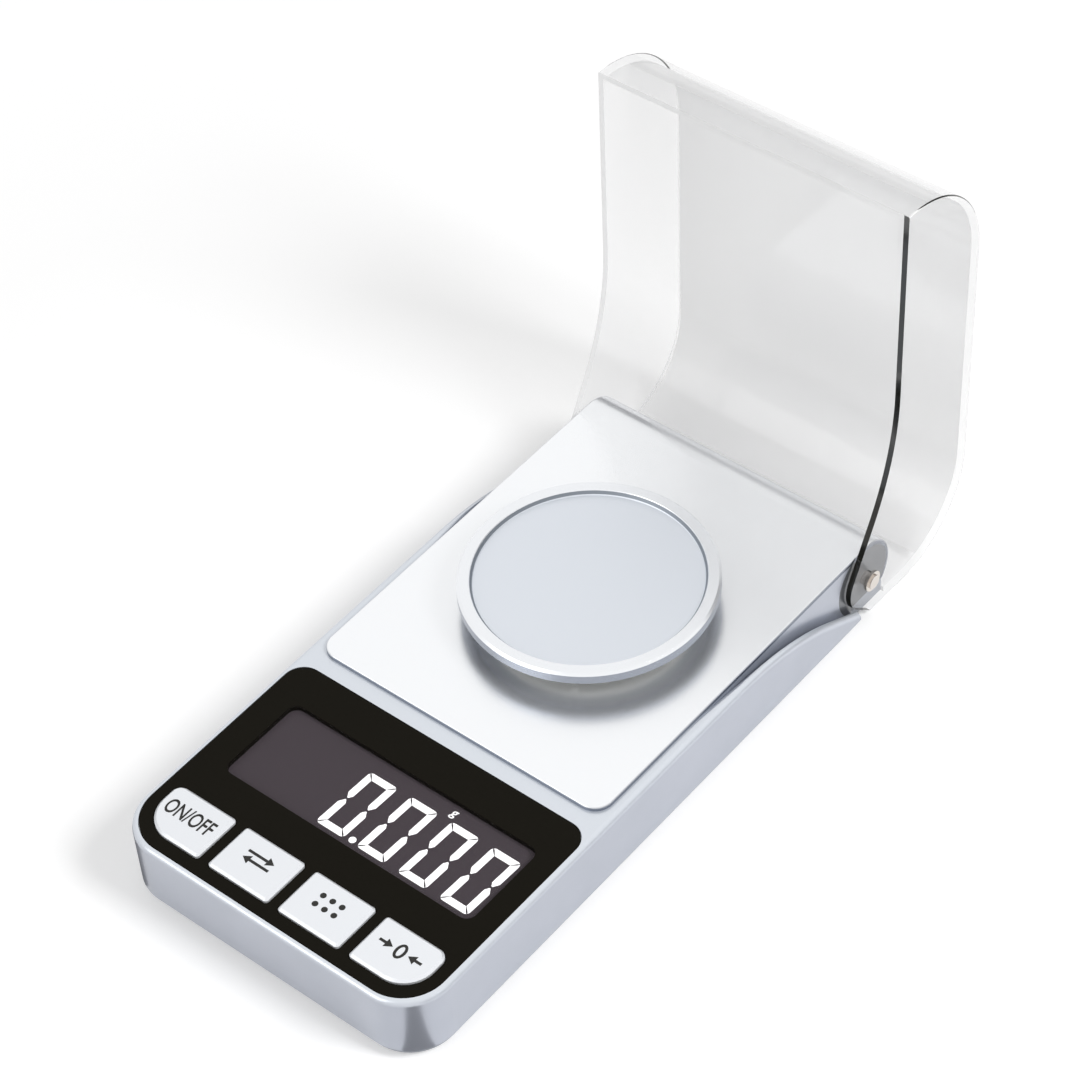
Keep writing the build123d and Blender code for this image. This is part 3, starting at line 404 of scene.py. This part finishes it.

# %% [markdown]
# ## The platform and the pan: plated sheet
#
# The platform is a bright brushed sheet, nearly white because it mirrors the white studio. Its
# steep faces, such as the roll at the rear, get a grey painted shade: the share of grey is 1 less
# the normal's upward part, times a small gain, and stops at 1. The pan's floor is blasted matt,
# and its rim is turned bright, partly by its polish and partly by a painted highlight, with a grey
# painted shade in the groove inside it and on the skirt below. Rim and groove are rings about the
# pan's own axis, so their masks are distances from that axis, and the skirt is found by the way
# it faces.

# %% Platform
material, graph, place = new_material("bright_sheet")
brushed = grain(graph, place, 0.08, stretch=(40.0, 1.0, 1.0))
sheet_color = mix_color(graph, brushed, color("F7F9FC"), color("FCFDFE"))
steep_gain = 1.25
upward = axes(graph, outward(graph))[2]
# Painted shade: the steep faces, such as the rear roll, turn grey.
steep = (steep_gain - steep_gain * upward).math("MINIMUM", 1.0)
sheet_color = mix_color(graph, steep, sheet_color, color("7E8490"))
close_material(graph, Base_Color=sheet_color, Metallic=0.85, Roughness=0.20 + 0.08 * brushed,
               Normal=bump(graph, brushed, 0.0015))
dress(material, "platform_sheet")

# %% Pan
pan_low, pan_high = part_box("weighing_pan")
pan_centre = (pan_low + pan_high) / 2
pan_radius = (pan_high.x - pan_low.x) / 2
rim_width = 2.2 * MM
groove_width = 0.35 * MM
skirt_tilt = 0.35
rim_polish = 0.22

material, graph, place = new_material("pressed_pan")
to_axis = (-pan_centre.x, -pan_centre.y, 0.0)
centred = graph.node("ShaderNodeMapping", {}, {"Vector": place, "Location": to_axis})
flat = graph.node("ShaderNodeVectorMath", {"operation": "MULTIPLY"}, {0: centred, 1: (1.0, 1.0, 0.0)})
radius = graph.node("ShaderNodeVectorMath", {"operation": "LENGTH"}, {0: flat}, output="Value")
rim_inside = pan_radius - rim_width
on_rim = radius > rim_inside
groove_shade = (radius > rim_inside - groove_width) * (radius < rim_inside)
blasted = grain(graph, place, 0.14, detail=3.0)
floor_color = mix_color(graph, blasted, color("E0E5EC"), color("E6EAF0"))
# The rim's paler colour is partly its polish and partly a painted highlight.
pan_color = mix_color(graph, on_rim, floor_color, color("F2F4F7"))
# Painted shade in the groove inside the rim.
pan_color = mix_color(graph, groove_shade, pan_color, color("8A9098"))
# Painted shade on the skirt, found by the way it faces.
skirt_shade = axes(graph, outward(graph))[2] < skirt_tilt
pan_color = mix_color(graph, skirt_shade, pan_color, color("A4A9B3"))
pan_rough = 0.42 + 0.08 * blasted - rim_polish * on_rim
close_material(graph, Base_Color=pan_color, Metallic=0.8, Roughness=pan_rough,
               Normal=bump(graph, blasted * (1 - on_rim), 0.006))
dress(material, "weighing_pan")

# %% [markdown]
# ## The display panel, its window and the readout
#
# The panel is a black sheet that hardly shines. The window is clear, and a low alpha is all
# that it needs. Behind it lies a dark violet grey readout, which glows a little, so that it
# looks even although the panel shades it.

# %% Panel, window and readout
material, graph, place = new_material("black_panel")
dust = grain(graph, place, 0.6, detail=4.0)
close_material(graph, Base_Color=mix_color(graph, dust, color("171510"), color("1B1914")),
               Roughness=0.34 + 0.05 * dust, Specular_IOR_Level=0.03)
dress(material, "display_panel")

material, graph, place = new_material("clear_window")
haze = grain(graph, place, 3.0)
close_material(graph, Base_Color=color("2A272A"), Roughness=0.08 + 0.02 * haze, Alpha=0.05,
               Specular_IOR_Level=0.2)
dress(material, "display_window")

material, graph, place = new_material("dark_readout")
cell = grain(graph, place, 0.25)
readout_color = mix_color(graph, cell, color("474145"), color("4C454A"))
close_material(graph, Base_Color=readout_color, Roughness=0.45, Specular_IOR_Level=0.03,
               Emission_Color=readout_color, Emission_Strength=0.25)
dress(material, "readout_glass")

# %% [markdown]
# ## The keys
#
# Four plastic keys with a pale metallic lacquer. They are paler than the casing, with a fine
# grain that shows as a soft sparkle.

# %% Keys
key_names = ["key_on_off", "key_mode", "key_count", "key_tare"]
material, graph, place = new_material("key_lacquer")
fine = grain(graph, place, 0.12, detail=3.0)
key_color = mix_color(graph, fine, color("EBEEF3"), color("F6F8FB"))
close_material(graph, Base_Color=key_color, Metallic=0.35, Roughness=0.36 + 0.06 * fine,
               Normal=bump(graph, fine, 0.003))
dress(material, *key_names)

# %% [markdown]
# ## The lid: clear acrylic
#
# The lid is one clear moulding, a millimetre thick. It could be a transmitting shader with the
# index of acrylic, whose edges turn bright or dark by where they bend the light from. Here that
# light is painted: each edge gets its tone by itself, so the lid is a pale surface with a low
# alpha, and a painted shade makes it a little denser towards the top. The rounded edges get a
# painted highlight, white and denser, and so does all that faces forward while the lid stands
# open: the rim of its side walls and the inside of its plate. Two places get a black painted
# shade: the rim of the right wall, and both ends of the upper bend. They are found by where they
# lie and by the way they face.

# %% Lid
lid_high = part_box("clear_lid")[1]
lid_wall = 1.0 * MM
wall_slack = 0.01 * MM
rise_start = 30 * MM
rise_length = 55 * MM
bend_reach = 12 * MM
end_reach = 0.7 * MM
forward_tilt = 0.3
edge_tilt = 0.15
edge_flat = 0.97
back_tilt = 0.10
down_tilt = -0.2
clear_alpha = 0.13
rise_alpha = 0.08
edge_alpha = 0.30
forward_alpha = 0.55
lid_lean = math.radians(frame["joints"][0]["range_deg"][1])
forward_way = (0.0, -math.sin(lid_lean), -math.cos(lid_lean))

material, graph, place = new_material("clear_acrylic")
wave = grain(graph, place, 14.0)
normal = outward(graph)
forward = graph.node("ShaderNodeVectorMath", {"operation": "DOT_PRODUCT"}, {0: normal, 1: forward_way},
                     output="Value")
facing_x, facing_y, facing_z = axes(graph, normal)
x, y, z = axes(graph, place)
# Painted shade: the alpha rises towards the top.
rise = (z - rise_start) * (1 / rise_length)
# Painted highlight: all that faces forward is white and denser.
faces_forward = forward > forward_tilt
# Painted shade: the rim of the right wall is black.
rim_painted_shade = faces_forward * (x > lid_high.x - lid_wall - wall_slack)
sideways = facing_x.math("ABSOLUTE")
# Painted highlight: the rounded edges are white and denser.
on_fillet = (sideways > edge_tilt) * (sideways < edge_flat)
at_end = x.math("ABSOLUTE") > lid_high.x - end_reach
on_bend = (z > lid_high.z - bend_reach) * (facing_y > back_tilt) * (facing_z > down_tilt)
# Painted shade: both ends of the upper bend are black as well.
dark = rim_painted_shade.math("MAXIMUM", on_bend * on_fillet * at_end)
body_color = mix_color(graph, wave, color("DEDEDF"), color("E4E4E5"))
lid_color = mix_color(graph, faces_forward, body_color, color("FFFFFF"))
lid_color = mix_color(graph, on_fillet, lid_color, color("FDFDFD"))
lid_color = mix_color(graph, dark, lid_color, color("15140C"))
lid_alpha = clear_alpha + rise_alpha * rise + edge_alpha * on_fillet + forward_alpha * faces_forward + dark
close_material(graph, Base_Color=lid_color, Roughness=0.06 + 0.02 * wave,
               Alpha=lid_alpha.math("MINIMUM", 1.0))
dress(material, "clear_lid")

# %% [markdown]
# ## Metal fittings
#
# The hinge pins are polished, the screws are plated steel, the contacts are nickel and the load
# cell is milled aluminium. They differ in roughness and in tint, so one function makes them all.

# %% Fittings
def metal(name, tint, rough, size, *nodes):
    """Metal with a grain of size millimetres, which shows in its roughness and its bump."""
    made, metal_graph, where = new_material(name)
    spots = grain(metal_graph, where, size, detail=3.0)
    close_material(metal_graph, Base_Color=color(tint), Metallic=1.0, Roughness=rough + 0.1 * spots,
                   Normal=bump(metal_graph, spots, 0.002))
    dress(made, *nodes)


metal("polished_pin", "D9D2CB", 0.08, 0.4, "hinge_pins")
metal("plated_steel", "B9BBC0", 0.28, 0.2, "casing_screws", "board_screws", "load_cell_screws",
      "overload_stop_screw", "pan_bracket_screws")
metal("nickel_contact", "C9C6BC", 0.25, 0.3, "contact_link", "contact_positive", "contact_negative",
      "contact_springs")
metal("milled_aluminium", "C4C7CB", 0.34, 0.15, "load_cell", "pan_bracket")

# %% [markdown]
# ## Plastics, rubber and the parts inside
#
# The bottom cover and the battery door are the casing's plastic without the lacquer. The
# parts inside are seen only when the scale is taken apart, but each kind has its own finish.

# %% Plastics and rubber
def moulded(name, first, second, rough, size, depth, *nodes):
    """Moulded plastic or rubber, whose two near colours and bump follow one grain."""
    made, plastic_graph, where = new_material(name)
    spots = grain(plastic_graph, where, size, detail=4.0)
    shade = mix_color(plastic_graph, spots, color(first), color(second))
    close_material(plastic_graph, Base_Color=shade, Roughness=rough + 0.12 * spots,
                   Normal=bump(plastic_graph, spots, depth))
    dress(made, *nodes)


moulded("cover_plastic", "A9ADB6", "B1B5BD", 0.42, 0.18, 0.008, "bottom_cover", "battery_door")
moulded("rubber", "1A1A1B", "242426", 0.72, 0.25, 0.012, "rubber_feet", "zebra_connector")
moulded("support_plastic", "E4E3DD", "ECEBE6", 0.48, 0.20, 0.005, "pan_support")
moulded("red_lead", "8E1D1B", "9C2421", 0.38, 0.30, 0.004, "positive_lead")
moulded("black_lead", "1A1A1C", "222225", 0.38, 0.30, 0.004, "negative_lead")
moulded("white_wire", "E2E1DC", "EBEAE6", 0.38, 0.30, 0.004, "load_cell_wires")
moulded("light_guide", "F1F3F6", "FBFCFD", 0.30, 0.50, 0.002, "backlight")
moulded("seal_silicone", "E9E6DF", "F3F1EC", 0.55, 0.80, 0.050, "strain_gauge_seals")
moulded("chip_epoxy", "17181A", "202124", 0.55, 0.10, 0.006, "circuit_chips")
moulded("switch_plastic", "1D1D1F", "28282B", 0.45, 0.15, 0.005, "key_switches", "plunger_on_off",
        "plunger_mode", "plunger_count", "plunger_tare")

# %% Circuit board and batteries
material, graph, place = new_material("board_lacquer")
tracks = graph.node("ShaderNodeTexBrick", {"offset": 0.37}, {
    "Vector": place, "Scale": 260.0, "Mortar Size": 0.03, "Color1": color("1D5B34"),
    "Color2": color("226439"), "Mortar": color("3E8A55")})
close_material(graph, Base_Color=tracks, Roughness=0.35)
dress(material, "main_board")

material, graph, place = new_material("battery_wrap")
x, y, z = axes(graph, place)
scuff = grain(graph, place, 1.2, detail=3.0)
band_left = -6 * MM
band_right = 22 * MM
band = (x > band_left) * (x < band_right)
wrap = mix_color(graph, band, color("22262C"), color("7B8B9A"))
close_material(graph, Base_Color=wrap, Metallic=0.3, Roughness=0.28 + 0.1 * scuff)
dress(material, "aaa_battery_front", "aaa_battery_rear")

# %% [markdown]
# ## Thin prints as meshes
#
# The digits and the marks on the keys are flat shapes. They could be a texture, but a mesh
# stays sharp at any distance and needs no image. Each shape is an array of polygons, worked
# out as a whole: a grid of points gives quads, and an outline gives one polygon. A Solidify
# modifier then gives the print its hair-thin thickness.

# %% Build flat pieces
print_thickness = 0.03 * MM
weld_distance = 0.002 * MM


def grid_quads(points):
    """Quads of a grid of points, shape (rows, columns, 2), as an array (count, 4, 2)."""
    quads = np.stack([points[:-1, :-1], points[:-1, 1:], points[1:, 1:], points[1:, :-1]], axis=2)
    return quads.reshape(-1, 4, 2)


def signed_area(polygon):
    """Area by the shoelace formula, above zero when the points run anticlockwise."""
    following = np.roll(polygon, -1, axis=0)
    return 0.5 * np.sum(polygon[:, 0] * following[:, 1] - following[:, 0] * polygon[:, 1])


def lay_print(mesh, name, body, ink):
    """Give a flat mesh its ink and a print's thickness, and let it ride on a body."""
    mesh.materials.clear()
    mesh.materials.append(ink)
    piece = bpy.data.objects.new(name, mesh)
    bpy.context.scene.collection.objects.link(piece)
    solidify = piece.modifiers.new("thickness", "SOLIDIFY")
    solidify.thickness = print_thickness
    solidify.offset = -1.0
    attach(piece, body)


def print_piece(name, polygons, surface, body, ink):
    """A print in metres made of polygons in millimetres, on a surface at a height in metres."""
    upward = [polygon if signed_area(polygon) > 0 else polygon[::-1] for polygon in polygons]
    counts = np.array([len(polygon) for polygon in upward])
    flat = np.concatenate(upward) * MM
    points = np.column_stack([flat, np.full(len(flat), surface + print_thickness)])
    starts = np.cumsum(counts) - counts
    mesh = bpy.data.meshes.new(name)
    mesh.from_pydata(points.tolist(), [], [list(range(s, s + c)) for s, c in zip(starts, counts)])
    working = bmesh.new()
    working.from_mesh(mesh)
    bmesh.ops.remove_doubles(working, verts=working.verts, dist=weld_distance)
    working.to_mesh(mesh)
    working.free()
    lay_print(mesh, name, body, ink)
    print(name, "has", len(mesh.polygons), "faces on", body)


# %% [markdown]
# ## The digits
#
# Each digit is a slanted zero of six bars. A bar is a grid: one parameter runs along it and
# the other from the outer edge to the inner one. The outer edge is rounded at the digit's
# corners by the circle formula, and each end follows the diagonal where two bars meet.

# %% Digit bars
digit_width = 5.65
digit_height = 12.5
digit_pitch = 8.33
digit_slant = 0.45
bar = 1.25
bar_gap = 0.12
bar_round = 0.75
bar_tip = 0.35
tip_share = 1 / 8
corner_cut = bar_round * (1 - math.sqrt(0.5))
digit_count = 4
digit_left = -6.50
digit_front = -40.85


def bar_grid(along_count, inward_count):
    """Two arrays of parameters from 0 to 1: along a bar, and from its outer edge to its inner one."""
    return np.meshgrid(np.linspace(0, 1, along_count), np.linspace(0, 1, inward_count), indexing="ij")


def upper_right_bar():
    """The digit's upper right bar, from the middle of its height to its top corner.

    The outer edge is x = width - r + sqrt(r^2 - d^2), where d is how far the point is above
    the start of the corner's rounding. Both ends run at about 45 degrees.
    """
    along, inward = bar_grid(17, 5)
    low = digit_height / 2 + bar_gap / 2 + np.abs(inward - bar_tip) * bar
    high = digit_height - corner_cut - bar_gap / 2 - inward * (bar - corner_cut)
    y = low + (high - low) * along
    d = np.clip(y - (digit_height - bar_round), 0, bar_round)
    outer = digit_width - bar_round + np.sqrt(bar_round ** 2 - d ** 2)
    chamfer = np.clip(bar_tip * bar * (1 - along / tip_share), 0, None)
    x = (outer - chamfer) + (digit_width - bar - (outer - chamfer)) * inward
    return np.stack([x, y], axis=-1)


def top_bar():
    """The digit's top bar: its outer edge is rounded at both corners by the same formula."""
    along, inward = bar_grid(25, 4)
    low = corner_cut + bar_gap / 2 + inward * (bar - corner_cut)
    x = low + (digit_width - 2 * low) * along
    d = np.clip(np.maximum(bar_round - x, x - (digit_width - bar_round)), 0, bar_round)
    outer = digit_height - bar_round + np.sqrt(bar_round ** 2 - d ** 2)
    y = outer + (digit_height - bar - outer) * inward
    return np.stack([x, y], axis=-1)


def zero_digit(index):
    """Six bars of one digit: each is a mirror image of one of two, slanted and set in its place."""
    upright = upper_right_bar()
    level_bar = top_bar()
    flips = [np.array([sx, sy]) for sx in (1, -1) for sy in (1, -1)]
    centre = np.array([digit_width, digit_height]) / 2
    bars = [centre + (upright - centre) * flip for flip in flips]
    bars += [level_bar, centre + (level_bar - centre) * np.array([1, -1])]
    quads = np.concatenate([grid_quads(points) for points in bars])
    quads[..., 0] += digit_slant * quads[..., 1] / digit_height
    return quads + np.array([digit_left + index * digit_pitch, digit_front])


def disc(centre, radius, count=24):
    """One round polygon."""
    angle = np.linspace(0, 2 * math.pi, count, endpoint=False)
    return (np.array(centre) + radius * np.column_stack([np.cos(angle), np.sin(angle)]))[None]


material, graph, place = new_material("readout_light")
even = grain(graph, place, 0.8)
close_material(graph, Base_Color=color("FFFFFF"), Roughness=0.5 + 0.1 * even, Emission_Color=color("FFFFFF"),
               Emission_Strength=0.6)
lit = material

readout_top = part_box("readout_glass")[1].z
point_place = (0.61, -40.26)
point_radius = 0.62
digits = np.concatenate([zero_digit(index) for index in range(digit_count)])
polygons = list(digits) + list(disc(point_place, point_radius))
print_piece("readout_digits", polygons, readout_top, "base", lit)

# %% [markdown]
# ## The marks on the keys
#
# The first key switches the scale, so it says ON/OFF. The others bear plain signs of what
# they do: two arrows that change over, six dots to count, and arrows that close in on zero.
# The small g above the digits stands for grams. Letters come from Blender's own font as a text
# curve, which is made a mesh before it is put in place, and the signs are polygons.


# %% Lettering
stroke_swell = 0.012
mark_rise = 0.5


def text_piece(name, words, cap_height, squeeze, centre, surface, body, ink, slant=0.0):
    """Words as a print on a surface: a text curve's mesh, squeezed, slanted and centred in plan."""
    curve = bpy.data.curves.new(name, "FONT")
    curve.body = words
    curve.size = 1.0
    curve.offset = stroke_swell
    curve.resolution_u = 4
    holder = bpy.data.objects.new(name + "_text", curve)
    bpy.context.scene.collection.objects.link(holder)
    mesh = bpy.data.meshes.new_from_object(holder)
    bpy.data.objects.remove(holder)
    points = np.empty(len(mesh.vertices) * 3)
    mesh.vertices.foreach_get("co", points)
    points = points.reshape(-1, 3)
    height = points[:, 1].max() - points[:, 1].min()
    scale = cap_height * MM / height
    points[:, 0] += slant * points[:, 1]
    points *= [scale * squeeze, scale, 0.0]
    middle = (points.max(axis=0) + points.min(axis=0)) / 2
    points += np.array([centre[0] * MM, centre[1] * MM, surface + print_thickness]) - middle
    mesh.vertices.foreach_set("co", points.ravel())
    mesh.name = name
    lay_print(mesh, name, body, ink)
    print(name, "is", round((points[:, 0].max() - points[:, 0].min()) / MM, 2), "mm long")


def mark_place(name):
    """Where a key's mark goes in plan, in millimetres, and the height of the key's top in metres."""
    low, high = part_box(name)
    middle = (low + high) / 2 / MM
    return np.array([middle.x, middle.y + mark_rise]), high.z


material, graph, place = new_material("key_ink")
wear = grain(graph, place, 0.3)
ink_color = mix_color(graph, wear, color("12110E"), color("1E1D1A"))
close_material(graph, Base_Color=ink_color, Roughness=0.5 + 0.1 * wear)
ink = material

mark_height = 2.9
mark_squeeze = 0.66
unit_height = 1.6
unit_place = (9.9, -27.2)
unit_slant = 0.15
middle, key_top = mark_place("key_on_off")
text_piece("on_off_mark", "ON/OFF", mark_height, mark_squeeze, middle, key_top, "key_on_off", ink)
text_piece("unit_mark", "g", unit_height, 1.0, unit_place, readout_top, "base", lit, slant=unit_slant)


# %% Signs
wing_share = 0.62


def arrow(start, end, width, head):
    """An arrow's outline from start to end: a shaft of a width and a head of a length."""
    start = np.array(start, float)
    end = np.array(end, float)
    way = (end - start) / np.linalg.norm(end - start)
    left = np.array([-way[1], way[0]])
    neck = end - way * head
    half = width / 2
    wing = head * wing_share
    return np.array([start - left * half, neck - left * half, neck - left * wing, end,
                     neck + left * wing, neck + left * half, start + left * half])


def ring(centre, half_width, half_height, width, count=32):
    """An upright oval ring: an outer ellipse and one that is smaller by the line's width."""
    angle = np.linspace(0, 2 * math.pi, count + 1)
    share = np.array([0.0, 1.0])
    across = (half_width - share[None] * width) * np.cos(angle)[:, None]
    along = (half_height - share[None] * width) * np.sin(angle)[:, None]
    return grid_quads(np.stack([across, along], axis=-1) + np.array(centre))


line = 0.48
head = 1.35
swap_reach = 2.6
swap_rise = 0.7
middle, key_top = mark_place("key_mode")
swap = [arrow(middle + [-swap_reach, swap_rise], middle + [swap_reach, swap_rise], line, head),
        arrow(middle + [swap_reach, -swap_rise], middle + [-swap_reach, -swap_rise], line, head)]
print_piece("mode_mark", swap, key_top, "key_mode", ink)

dot_radius = 0.52
dot_pitch = 1.9
middle, key_top = mark_place("key_count")
spots = np.array([(column, row) for column in (-1, 0, 1) for row in (-0.5, 0.5)])
dots = [disc(middle + spot * dot_pitch, dot_radius)[0] for spot in spots]
print_piece("count_mark", dots, key_top, "key_count", ink)

arrow_start = 4.1
arrow_end = 1.5
zero_half_width = 0.95
middle, key_top = mark_place("key_tare")
to_zero = [arrow(middle + [-arrow_start, 0], middle + [-arrow_end, 0], line, head),
           arrow(middle + [arrow_start, 0], middle + [arrow_end, 0], line, head)]
to_zero += list(ring(middle, zero_half_width, mark_height / 2, line))
print_piece("tare_mark", to_zero, key_top, "key_tare", ink)
